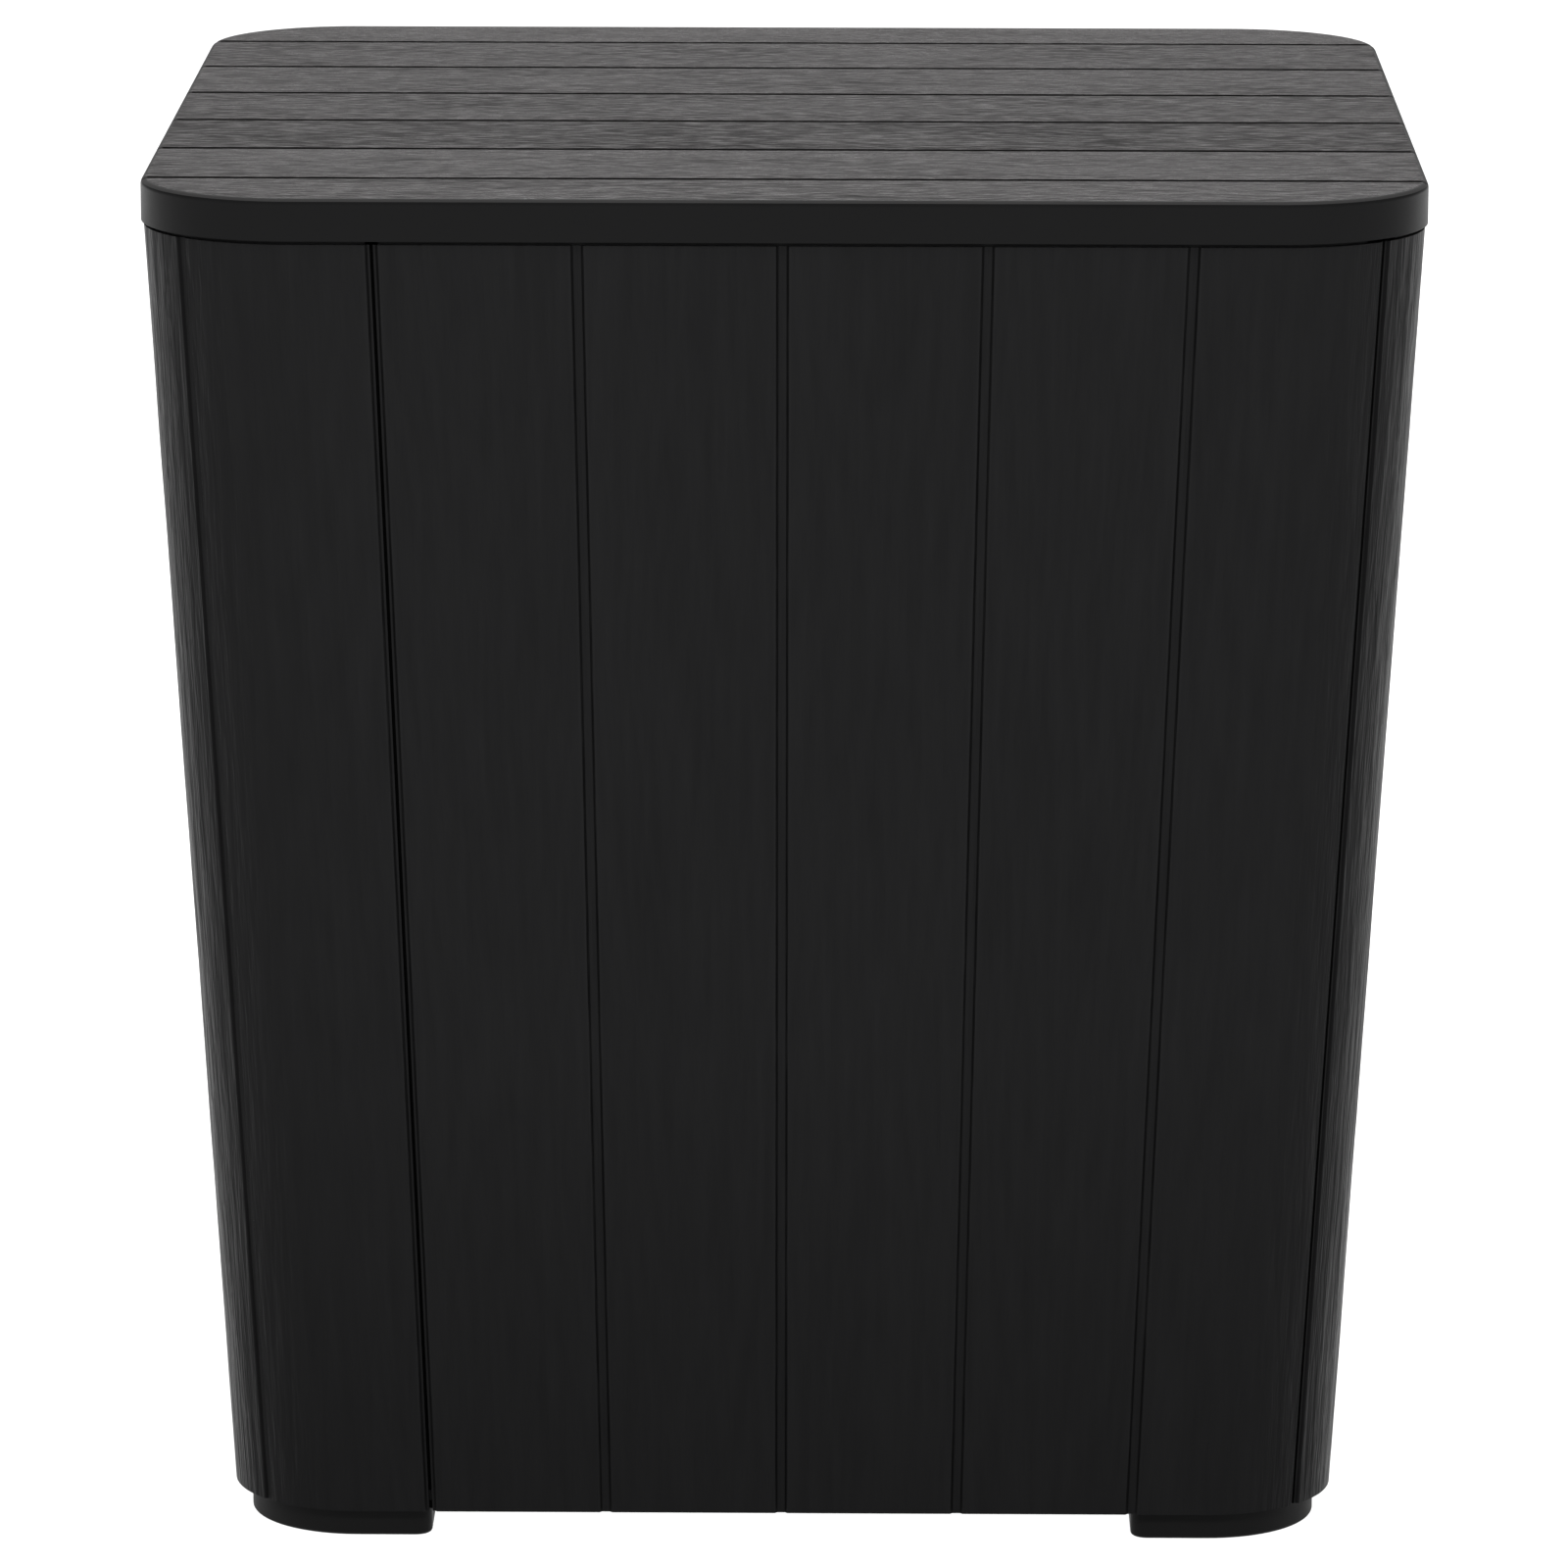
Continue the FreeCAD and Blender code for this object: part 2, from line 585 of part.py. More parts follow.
def wall_leaf(x):
    """Leaf on the leaning wall with a knuckle at each end, notched where the lid's knuckle turns."""
    reach = HINGE_WIDTH / 2
    leaf = box((-reach, reach), (0, LEAF), (-WALL_LEAF_HEIGHT, -LEAF_GAP))
    low = [edge for edge in leaf.Edges
           if edge.BoundBox.ZMax < LEAF_GAP - WALL_LEAF_HEIGHT and edge.BoundBox.XLength < LEAF_GAP]
    leaf = leaf.makeFillet(LEAF_CORNER_RADIUS, low)
    leaf.Placement = wall_frame(x)
    turning = BARREL_RADIUS + BARREL_CLEARANCE
    notch = x - reach + KNUCKLE, x + reach - KNUCKLE
    leaf = leaf.cut(box(notch, (AXIS_Y - 2 * turning, AXIS_Y + turning), (AXIS_Z - turning, AXIS_Z + turning)))
    pieces = []
    for start in (x - reach, x + reach - KNUCKLE):
        end = start + KNUCKLE
        web = [(-AXIS_OFFSET, -LEAF_GAP), (-AXIS_OFFSET, -BARREL_RADIUS), (0, -BARREL_RADIUS), (0, -LEAF_GAP)]
        pieces += [rod(BARREL_RADIUS, axis_point(start), axis_point(end)), side_prism(web, start, end)]
        pieces.append(stop_shoulder(start, end))
    leaf = join(leaf, pieces)
    leaf = leaf.cut(rod(PIN_RADIUS, axis_point(x - reach), axis_point(x + reach)))
    return leaf.cut(place_all(screw_hole(HINGE_WALL_SCREW), hinge_wall_screw_places()))


def lid_leaf(x):
    """T-shaped leaf on the lid's back face, with the middle knuckle below it."""
    reach = HINGE_WIDTH / 2
    middle = x - LID_KNUCKLE / 2, x + LID_KNUCKLE / 2
    low, high = lid_leaf_span()
    depth = LID_HALF, LID_HALF + LEAF
    plate = box((x - reach, x + reach), depth, (AXIS_Z + low, AXIS_Z + high))
    neck = box(middle, depth, (AXIS_Z + LEAF_GAP, AXIS_Z + (low + high) / 2))
    barrel = rod(BARREL_RADIUS, axis_point(middle[0]), axis_point(middle[1]))
    leaf = join(plate, [neck, barrel])
    leaf = leaf.cut(rod(PIN_RADIUS + PIN_CLEARANCE, axis_point(middle[0]), axis_point(middle[1])))
    return leaf.cut(place_all(screw_hole(HINGE_LID_SCREW), hinge_lid_screw_places()))


def hinge_pin(x):
    reach = HINGE_WIDTH / 2
    shank = rod(PIN_RADIUS, axis_point(x - reach), axis_point(x + reach))
    return join(shank, [rod(PIN_HEAD_RADIUS, axis_point(x + reach), axis_point(x + reach + PIN_HEAD))])


def hinges():
    shapes = {}
    for side, x in (("left", -HINGE_X), ("right", HINGE_X)):
        shapes[f"hinge_{side}_wall_leaf"] = wall_leaf(x)
        shapes[f"hinge_{side}_lid_leaf"] = lid_leaf(x)
        shapes[f"hinge_{side}_pin"] = hinge_pin(x)
    return shapes


def screw_groups():
    groups = {
        "foot_screws": (FOOT_SCREW, foot_screw_places()),
        "hinge_wall_screws": (HINGE_WALL_SCREW, hinge_wall_screw_places()),
        "hinge_lid_screws": (HINGE_LID_SCREW, hinge_lid_screw_places()),
        "liner_screws": (LINER_SCREW, liner_screw_places()),
    }
    return {name: Part.makeCompound(place_all(screw(kind), places)) for name, (kind, places) in groups.items()}


def main():
    os.makedirs("parts", exist_ok=True)
    nodes = {**wall_panels(), "floor_panel": floor_panel(), **feet()}
    nodes.update({"lid_top": lid_top(), "lid_liner": lid_liner(), **hinges(), **screw_groups()})
    for name, shape in nodes.items():
        shape.exportStep(f"parts/{name}.step")


main()
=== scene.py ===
# %% [markdown]
# A garden storage table in charcoal resin: four leaning plank walls, a plank lid on two back hinges
# and four low feet. The solids come from CAD, and this script gives them the looks of the real
# mouldings: soft edges, wood grain, satin rims and metal hinges.
# The frame comes first. Every CAD node arrives in metres, in its place, on the body that moves it, so
# nothing has to be fitted.

# %% Load the frame
import math

import bmesh
import bpy
from mathutils import Matrix, Vector


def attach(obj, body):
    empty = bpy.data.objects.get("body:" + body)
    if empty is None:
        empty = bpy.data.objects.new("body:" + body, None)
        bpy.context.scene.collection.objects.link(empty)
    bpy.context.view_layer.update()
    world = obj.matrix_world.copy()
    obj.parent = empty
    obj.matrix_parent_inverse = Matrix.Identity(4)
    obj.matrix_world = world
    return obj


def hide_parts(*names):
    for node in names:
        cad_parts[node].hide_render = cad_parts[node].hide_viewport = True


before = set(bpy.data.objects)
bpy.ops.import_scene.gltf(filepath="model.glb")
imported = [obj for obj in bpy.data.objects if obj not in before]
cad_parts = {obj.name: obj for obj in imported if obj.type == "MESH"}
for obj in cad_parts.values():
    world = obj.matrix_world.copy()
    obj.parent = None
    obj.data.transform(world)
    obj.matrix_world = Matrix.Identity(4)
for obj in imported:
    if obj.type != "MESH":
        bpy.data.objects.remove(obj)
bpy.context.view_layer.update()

bpy.ops.object.select_all(action="DESELECT")

# %% [markdown]
# The camera stands about three and a half metres in front of the table and a little above it, with a
# long lens, so upright lines stay nearly parallel. Its place could be found by eye, but the corners
# of a square lid fix it exactly, so pitch, yaw and roll are written down as three small turns.

# %% Camera
CAMERA_PLACE = (0.0322, -3.3810, 0.9807)
CAMERA_TURNS = (12.3625, -0.5697, 0.1047)
FILM_WIDTH = 36
FOCAL_PIXELS, PICTURE_PIXELS = 9242.6, 1600
pitch, yaw, roll = (math.radians(angle) for angle in CAMERA_TURNS)
bpy.ops.object.camera_add()
camera = bpy.context.object
camera.name = "portrait_camera"
camera.data.sensor_width = FILM_WIDTH
camera.data.lens = FILM_WIDTH * FOCAL_PIXELS / PICTURE_PIXELS
camera.data.clip_end = 100
aimed = Matrix.Rotation(-yaw, 4, "Z") @ Matrix.Rotation(math.pi / 2 - pitch, 4, "X")
rolled = aimed @ Matrix.Rotation(roll, 4, "Z")
camera.matrix_world = Matrix.Translation(CAMERA_PLACE) @ rolled
bpy.context.scene.camera = camera
print("camera: lens %.1f mm, %.2f m from the table" % (camera.data.lens, camera.location.length))

# %% [markdown]
# Nodes are quicker to write with a few small helpers. The first adds a node, sets its options, and for
# each named input either types the value in or draws a link, depending on what it is given. The others
# make the nodes that are used most: sums, a change of range, a mix of two colours and a new material.

# %% Node helpers
MIXED_COLOUR = 2


def add_node(tree, kind, inputs=None, output=0, **options):
    made = tree.nodes.new("ShaderNode" + kind)
    for option, value in options.items():
        setattr(made, option, value)
    for socket, value in (inputs or {}).items():
        if isinstance(value, bpy.types.NodeSocket):
            tree.links.new(value, made.inputs[socket])
        else:
            made.inputs[socket].default_value = value
    return made.outputs[output]


def math_node(tree, operation, first, second=0.0, third=0.0):
    return add_node(tree, "Math", {0: first, 1: second, 2: third}, operation=operation)


def ramp(tree, value, low, high, start=0.0, end=1.0):
    """Turns the range from low to high into the range from start to end, and stays level beyond it."""
    return add_node(tree, "MapRange", {
        "Value": value, "From Min": low, "From Max": high, "To Min": start, "To Max": end})


def mix_colours(tree, share, first, second):
    inputs = {"Factor": share, "A": first, "B": second}
    return add_node(tree, "Mix", inputs, output=MIXED_COLOUR, data_type="RGBA")


def new_finish(name):
    material = bpy.data.materials.new(name)
    material.use_nodes = True
    return material, material.node_tree, material.node_tree.nodes["Principled BSDF"]


def feed(tree, socket, shader, name):
    tree.links.new(socket, shader.inputs[name])


# %% [markdown]
# The stage is a plain pale floor in an even, dim room. A real floor would throw much light up onto the
# walls, and the wall colours would then depend on the floor, so it is hidden from diffuse rays: it is
# seen, and mirrored in the resin, but lights nothing.

# %% Floor and room light
FLOOR_WIDTH = 60
ROOM_LIGHT = 0.26
bpy.ops.mesh.primitive_plane_add(size=FLOOR_WIDTH)
floor = bpy.context.object
floor.name = "studio_floor"
floor_finish, _, floor_shader = new_finish("pale_floor")
floor_shader.inputs["Base Color"].default_value = (0.86, 0.86, 0.86, 1)
floor_shader.inputs["Roughness"].default_value = 0.9
floor_shader.inputs["Specular IOR Level"].default_value = 0.1
floor.data.materials.append(floor_finish)
floor.visible_diffuse = False

room = bpy.data.worlds.new("studio_room")
room.use_nodes = True
room_shader = room.node_tree.nodes["Background"]
room_shader.inputs["Color"].default_value = (1.0, 1.0, 1.0, 1)
room_shader.inputs["Strength"].default_value = ROOM_LIGHT
bpy.context.scene.world = room
bpy.context.scene.view_settings.view_transform = "Standard"
print("stage: floor", floor.dimensions.x, "m wide")


# %% [markdown]
# Five soft boxes light the table. The one above and behind it is the only one that the resin mirrors,
# so the lid shows its grain at a low angle. The four round it only fill, so they are hidden from
# glossy rays, and light linking keeps them off the floor. The floor has a sun of its own that nothing
# shades, which keeps it as white as a studio sweep. A card in front of the table, unseen by the camera,
# holds the front light off the foot of the walls, where a low table standing on a floor is darker.

# %% Soft boxes
FILL_SIZE, FILL_LEAN, FILL_AIM = (2.4, 0.6), 0.07, 0.2
FILL_BOXES = (
    ("front_box", (0, -2.6, 1.6), 49),
    ("back_box", (0, 2.8, 1.6), 26),
    ("left_box", (-2.8, 2.0, 1.6), 26),
    ("right_box", (2.8, 2.0, 1.6), 26),
)
FLOOR_SUN = 3.75
CARD_WIDTH, CARD_HEIGHT, CARD_AHEAD = 3.0, 0.545, 1.0


def soft_box(name, place, target, size, power):
    bpy.ops.object.light_add(type="AREA", location=place)
    light = bpy.context.object
    light.name = name
    light.data.shape = "RECTANGLE"
    light.data.size, light.data.size_y = size
    light.data.energy = power
    aim = Vector(target) - Vector(place)
    light.rotation_euler = aim.to_track_quat("-Z", "Y").to_euler()
    return light


def lit_set(name, things, state):
    """A collection of things for light linking: the only ones that count, or the only ones left out."""
    made = bpy.data.collections.new(name)
    for thing in things:
        made.objects.link(thing)
    for member in made.collection_objects:
        member.light_linking.link_state = state
    return made


floor_only = lit_set("floor_only", [floor], "INCLUDE")
all_but_floor = lit_set("all_but_floor", [floor], "EXCLUDE")
soft_box("lid_box", (0, 2.2, 2.6), (0, 0, 0.5), (2.0, 1.2), 34.5)
for name, place, power in FILL_BOXES:
    box = soft_box(name, place, (0, FILL_LEAN * place[1], FILL_AIM), FILL_SIZE, power)
    box.visible_glossy = False
    box.light_linking.receiver_collection = all_but_floor
bpy.ops.object.light_add(type="SUN", location=(0, 0, 4))
floor_wash = bpy.context.object
floor_wash.name = "floor_wash"
floor_wash.data.energy = FLOOR_SUN
floor_wash.light_linking.receiver_collection = floor_only
floor_wash.light_linking.blocker_collection = floor_only
bpy.ops.mesh.primitive_plane_add(
    size=1, location=(0, -CARD_AHEAD, CARD_HEIGHT / 2), rotation=(math.pi / 2, 0, 0))
card = bpy.context.object
card.name = "light_card"
card.scale = (CARD_WIDTH, CARD_HEIGHT, 1.0)
bpy.ops.object.transform_apply()
card.visible_camera = card.visible_diffuse = card.visible_glossy = card.visible_transmission = False

# %% [markdown]
# The resin is moulded with a wood grain: fine fibres and streaks along every plank, wider rings that
# close into arches, and cloudy patches of gloss. One node group makes that pattern from two numbers,
# how far across the planks a point lies, counted in planks, and how far along them, in metres. The
# walls and the lid share the group, so their grain belongs together. Each plank takes its own random
# number, as if it were cut from another board. The group also tells how near a point lies to a plank
# line, for worn shoulders and for the shade painted into the grooves and down their sides, and where a
# few pale specks of dust are.

# %% Grain group
PITCH = 0.072435
BOARD_SHIFT, BOARD_SEED = 3.0, 40.0
RING_SPACING, RING_REACH, RING_LEAN, RING_WOBBLE = 0.0052, 0.42, 0.11, 0.03
SHOULDER_LINE, SHOULDER_FADE = 0.0026, 0.0007
SLOPE_LINE, SLOPE_FADE = 0.00185, (0.0003, 0.0006)
GROOVE_FADE = (0.0020, 0.0028)
SPECK_DENSITY, SPECK_FADE = 0.9, (0.003, 0.008)
GRAIN_PARTS = (
    "Fibres", "Streaks", "Rings", "Patches", "Boards", "Shoulder", "Slopes", "Groove", "Specks")


def grain_group():
    tree = bpy.data.node_groups.new("moulded_wood_grain", "ShaderNodeTree")
    for name in ("Across", "Along", "Fineness"):
        tree.interface.new_socket(name=name, in_out="INPUT", socket_type="NodeSocketFloat")
    for name in GRAIN_PARTS:
        tree.interface.new_socket(name=name, in_out="OUTPUT", socket_type="NodeSocketFloat")
    given = tree.nodes.new("NodeGroupInput")
    result = tree.nodes.new("NodeGroupOutput")
    across, along = given.outputs["Across"], given.outputs["Along"]

    plank = math_node(tree, "FLOOR", across)
    board = add_node(tree, "TexWhiteNoise", {"W": plank}, noise_dimensions="1D")
    offset = math_node(tree, "SUBTRACT", math_node(tree, "SUBTRACT", across, plank), 0.5)
    side = math_node(tree, "MULTIPLY", offset, PITCH)
    fine_side = math_node(tree, "MULTIPLY", side, given.outputs["Fineness"])
    length = math_node(tree, "MULTIPLY_ADD", board, BOARD_SHIFT, along)

    def stretched_noise(across_period, along_period, detail, roughness):
        place = add_node(tree, "CombineXYZ", {
            "X": math_node(tree, "DIVIDE", fine_side, across_period),
            "Y": math_node(tree, "DIVIDE", length, along_period),
            "Z": math_node(tree, "MULTIPLY", board, BOARD_SEED)})
        return add_node(tree, "TexNoise", {
            "Vector": place, "Scale": 1.0, "Detail": detail, "Roughness": roughness})

    fibres = stretched_noise(0.0013, 0.03, 3.0, 0.6)
    streaks = stretched_noise(0.0045, 0.055, 3.0, 0.6)
    patches = stretched_noise(0.05, 0.4, 3.0, 0.55)
    wobble = stretched_noise(0.035, 0.16, 2.0, 0.5)

    # A plank cut at a slant through the rings of a trunk: the distance from the pith makes the arches
    lean = math_node(tree, "MULTIPLY", math_node(tree, "PINGPONG", length, RING_REACH), RING_LEAN)
    aside = math_node(tree, "MULTIPLY_ADD", math_node(tree, "SUBTRACT", wobble, 0.5), RING_WOBBLE, side)
    squares = math_node(tree, "MULTIPLY_ADD", aside, aside, math_node(tree, "MULTIPLY", lean, lean))
    radius = math_node(tree, "SQRT", squares)
    wave = math_node(tree, "SINE", math_node(tree, "MULTIPLY", radius, 2 * math.pi / RING_SPACING))
    rings = math_node(tree, "POWER", math_node(tree, "MULTIPLY_ADD", wave, 0.5, 0.5), 3.0)

    # Distance from the nearest plank line, for worn shoulders, and for grooves made duller and painted
    # darker as shade
    inward = math_node(tree, "SUBTRACT", 0.5, math_node(tree, "ABSOLUTE", offset))
    reach = math_node(tree, "MULTIPLY", inward, PITCH)

    def away_from(line):
        return math_node(tree, "ABSOLUTE", math_node(tree, "SUBTRACT", reach, line))

    shoulder = ramp(tree, away_from(SHOULDER_LINE), 0.0, SHOULDER_FADE, 1.0, 0.0)
    slopes = ramp(tree, away_from(SLOPE_LINE), *SLOPE_FADE, 1.0, 0.0)
    groove = ramp(tree, reach, *GROOVE_FADE, 1.0, 0.0)
    spread = add_node(tree, "CombineXYZ", {"X": across, "Y": math_node(tree, "DIVIDE", along, PITCH)})
    cells = add_node(tree, "TexVoronoi", {"Vector": spread, "Scale": SPECK_DENSITY})
    specks = ramp(tree, cells, *SPECK_FADE, 1.0, 0.0)
    made = (fibres, streaks, rings, patches, board, shoulder, slopes, groove, specks)
    for name, socket in zip(GRAIN_PARTS, made):
        tree.links.new(socket, result.inputs[name])
    return tree


wood_grain = grain_group()
print("grain group:", len(wood_grain.nodes), "nodes")

# %% [markdown]
# A grained finish reads the pattern three times: as height for the bump, as small changes of colour,
# and as changes of roughness. The fibres that stand up are rubbed smoother and a little lighter, and so
# are the shoulders of the planks beside each groove. The grooves are made duller and painted darker, as
# painted shade. The walls' grain is coarse and faint, with painted shade: dark lines down the sides of
# the grooves. The lid's is finer, its planks differ in tone, and its colours are painted paler than the
# walls' to stand in for the light that falls on its top.

# %% Grained resin
FIBRE_SHARE, CLOUD_SHARE, SHOULDER_WEAR = 0.35, 0.5, 0.9
STREAK_MIDDLE = 0.52
PAINTED_GROOVE_SHADE, DUST = (0.002, 0.002, 0.002, 1), (0.09, 0.09, 0.09, 1)
GLOSS_RANGE = (0.1, 0.9)
GRAIN_STRENGTH, GRAIN_HEIGHT = 0.9, 0.0005


def grained_resin(name, across, along, fineness, dark, light, dull, shiny, level, contrast, arched,
                  boarded, groove_side_shade, groove_shade_and_dullness):
    material, tree, shader = new_finish(name)
    grain = tree.nodes.new("ShaderNodeGroup")
    grain.node_tree = wood_grain
    grain.inputs["Fineness"].default_value = fineness
    tree.links.new(across(tree), grain.inputs["Across"])
    tree.links.new(along(tree), grain.inputs["Along"])
    fibres, streaks, rings, patches, boards, shoulder, slopes, groove, specks = (
        grain.outputs[part] for part in GRAIN_PARTS)

    sharp = ramp(tree, streaks, STREAK_MIDDLE - contrast / 2, STREAK_MIDDLE + contrast / 2)
    fine = math_node(tree, "MULTIPLY_ADD", fibres, FIBRE_SHARE, sharp)
    relief = math_node(tree, "MULTIPLY_ADD", rings, -arched, fine)
    shown_relief = math_node(tree, "MULTIPLY", relief, 1 - CLOUD_SHARE)
    cloudy = math_node(tree, "MULTIPLY_ADD", patches, CLOUD_SHARE, shown_relief)
    tone = math_node(tree, "MULTIPLY_ADD", math_node(tree, "SUBTRACT", boards, 0.5), boarded, cloudy)
    worn = math_node(tree, "MULTIPLY", shoulder, fibres)
    rubbed = math_node(tree, "MULTIPLY_ADD", worn, SHOULDER_WEAR, tone)
    # Painted shade: the grooves are darkened here, which also makes them duller
    toned = math_node(tree, "MULTIPLY_ADD", groove, -groove_shade_and_dullness, rubbed)

    colour = mix_colours(tree, toned, dark, light)
    # Painted shade: the groove sides are mixed towards near-black
    side_shaded = mix_colours(tree, math_node(tree, "MULTIPLY", slopes, groove_side_shade), colour, PAINTED_GROOVE_SHADE)
    feed(tree, mix_colours(tree, specks, side_shaded, DUST), shader, "Base Color")
    feed(tree, ramp(tree, toned, *GLOSS_RANGE, dull, shiny), shader, "Roughness")
    raised = add_node(tree, "Bump", {
        "Height": relief, "Strength": GRAIN_STRENGTH, "Distance": GRAIN_HEIGHT})
    feed(tree, raised, shader, "Normal")
    shader.inputs["Specular IOR Level"].default_value = level
    return material


def uv_part(axis):
    def read(tree):
        place = add_node(tree, "UVMap", uv_map="planks")
        return add_node(tree, "SeparateXYZ", {"Vector": place}, output=axis)
    return read


def object_part(axis, scale=1.0, shift=0.0):
    def read(tree):
        place = add_node(tree, "TexCoord", output="Object")
        value = add_node(tree, "SeparateXYZ", {"Vector": place}, output=axis)
        return math_node(tree, "MULTIPLY_ADD", value, scale, shift)
    return read


wall_finish = grained_resin(
    "grained_wall_resin", uv_part("X"), uv_part("Y"), fineness=1.0,
    dark=(0.0114, 0.0114, 0.0117, 1), light=(0.0152, 0.0152, 0.0156, 1), dull=0.50, shiny=0.30,
    level=0.042, contrast=0.4, arched=0.2, boarded=0.0, groove_side_shade=0.65, groove_shade_and_dullness=0.1)
# Painted light: the lid's colours are made far paler than the walls', standing in for the light that
# falls on its top; its grain and plank tones are its own
lid_finish = grained_resin(
    "grained_lid_resin", object_part("Y", 1 / PITCH, 34.5), object_part("X", 5.6), fineness=3.2,
    dark=(0.0065, 0.0060, 0.0060, 1), light=(0.122, 0.1135, 0.1145, 1), dull=0.92, shiny=0.24,
    level=0.25, contrast=0.2, arched=0.02, boarded=0.3, groove_side_shade=0.0, groove_shade_and_dullness=1.0)
print("grained finishes:", wall_finish.name, lid_finish.name)


# %% [markdown]
# Where the mould was plain the resin is smooth and satin: the lid's rim, the feet and everything
# inside. Plain is still not flat. A spark-eroded mould leaves a fine pebble, flow leaves faint clouds
# of gloss, and handling polishes some places more than others. The hinges' powder coat and the plated
# steel of the screws follow the same recipe.

# %% Satin resin, powder coat and plated steel
CLOUDS_PER_METRE = 28.0
PEBBLE_SHARE, PEBBLE_STRENGTH = 0.3, 0.4
POLISH_RANGE = (0.4, 0.9)


def satin_finish(name, colour, spread, roughness, pebble, depth, metallic=0.0, level=0.13):
    material, tree, shader = new_finish(name)
    place = add_node(tree, "TexCoord", output="Object")
    clouds = add_node(tree, "TexNoise", {"Vector": place, "Scale": CLOUDS_PER_METRE, "Detail": 3.0})
    pebbles = add_node(tree, "TexNoise", {"Vector": place, "Scale": 1 / pebble, "Detail": 2.0})
    darker = tuple(part * (1 - spread) for part in colour) + (1,)
    lighter = tuple(part * (1 + spread) for part in colour) + (1,)
    feed(tree, mix_colours(tree, clouds, darker, lighter), shader, "Base Color")
    polish = math_node(tree, "MULTIPLY_ADD", pebbles, PEBBLE_SHARE, clouds)
    feed(tree, ramp(tree, polish, *POLISH_RANGE, *roughness), shader, "Roughness")
    raised = add_node(tree, "Bump", {
        "Height": pebbles, "Strength": PEBBLE_STRENGTH, "Distance": depth})
    feed(tree, raised, shader, "Normal")
    shader.inputs["Metallic"].default_value = metallic
    shader.inputs["Specular IOR Level"].default_value = level
    return material


rim_finish = satin_finish(
    "satin_rim_resin", (0.0122, 0.0122, 0.0124), 0.12, (0.36, 0.5), 0.0009, 0.00004, level=0.07)
# A lighter satin for the lid's rounded top edge: a painted highlight
edge_highlight_finish = satin_finish(
    "painted_highlight_edge_resin", (0.052, 0.051, 0.051), 0.12, (0.4, 0.55), 0.0009, 0.00004, level=0.2)
inner_finish = satin_finish(
    "inner_resin", (0.016, 0.016, 0.0165), 0.15, (0.42, 0.6), 0.0011, 0.00006)
# Near-black, matt resin for the walls of the open seams: painted shade for the dark gap
seam_shade_finish = satin_finish(
    "painted_seam_shade_resin", (0.004, 0.004, 0.004), 0.15, (0.8, 0.95), 0.0011, 0.00003, level=0.02)
foot_finish = satin_finish(
    "foot_resin", (0.0115, 0.0115, 0.0115), 0.15, (0.45, 0.6), 0.0010, 0.00005, level=0.08)
coat_finish = satin_finish(
    "black_powder_coat", (0.012, 0.012, 0.012), 0.15, (0.38, 0.55), 0.0006, 0.00008)
steel_finish = satin_finish(
    "plated_steel", (0.36, 0.36, 0.35), 0.15, (0.3, 0.5), 0.0007, 0.00003, metallic=1.0, level=0.5)
plain_finishes = (
    rim_finish, edge_highlight_finish, inner_finish, seam_shade_finish, foot_finish, coat_finish, steel_finish)
print("plain finishes:", [finish.name for finish in plain_finishes])


# %% [markdown]
# Every edge of a CAD solid is a perfect line, and a moulding has none. A Bevel modifier rounds each
# edge that turns more than thirty degrees, and smooth shading hides its steps. Smooth shading alone
# would also bend the light on the large flat faces beside it, so a Weighted Normal modifier lets the
# large faces decide.

# %% Soft edges
THIN_EDGE, PLATE_EDGE = 0.0003, 0.0004


def soften(piece, edge, steps=2):
    bpy.ops.object.modifier_add(type="BEVEL")
    rounding = piece.modifiers[-1]
    rounding.width = edge
    rounding.segments = steps
    rounding.limit_method = "ANGLE"
    rounding.angle_limit = math.radians(30)
    bpy.ops.object.modifier_apply(modifier=rounding.name)


def smooth(piece):
    bpy.ops.object.shade_smooth_by_angle(angle=math.radians(40))
    bpy.ops.object.modifier_add(type="WEIGHTED_NORMAL")
    settling = piece.modifiers[-1]
    settling.keep_sharp = True
    bpy.ops.object.modifier_apply(modifier=settling.name)


# %% [markdown]
# Some pieces have the right shape in CAD already and need only their edges. A copy is taken, its loose
# triangles are merged and joined into whole faces, and then it is softened.

# %% Moulded copies
def moulded_copy(node, name, edge):
    piece = bpy.data.objects.new(name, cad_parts[node].data.copy())
    bpy.context.collection.objects.link(piece)
    piece.data.materials.clear()
    bpy.ops.object.select_all(action="DESELECT")
    piece.select_set(True)
    bpy.context.view_layer.objects.active = piece
    bpy.ops.mesh.customdata_custom_splitnormals_clear()
    bpy.ops.object.mode_set(mode="EDIT")
    bpy.ops.mesh.select_all(action="SELECT")
    bpy.ops.mesh.remove_doubles(threshold=0.000002)
    bpy.ops.mesh.dissolve_limited(angle_limit=math.radians(0.3))
    bpy.ops.object.mode_set(mode="OBJECT")
    soften(piece, edge)
    return piece


# %% [markdown]
# The grain on the walls follows the planks, which lean, narrow towards the floor and run round the
# corners, so it needs a map of its own. The UV map "planks" stores how many planks to the right of
# the front's middle a point lies, and its height. The walls at any height are the same outline at
# another scale, so a point is first scaled up to the top outline and then measured along it. The same
# measure gives a face's depth, which parts the grained outside from the plain inside, and finds the
# walls of the open seams.

# %% Plank map
TOP_HALF, BOTTOM_HALF = 0.229, 0.2025
WALL_TOP, WALL_BOTTOM = 0.4833, 0.011
CORNER = 0.0545
FLAT = TOP_HALF - CORNER
SIDE_PLANKS = 6
ALL_PLANKS = 4 * SIDE_PLANKS
SEAM_LINES, SEAM_REACH = (-9, -2, 3, 10), 0.13
SKIN_DEPTH, SEAM_DEPTH = 0.0013, 0.0055
OUTSIDE, INSIDE, SEAM = range(3)


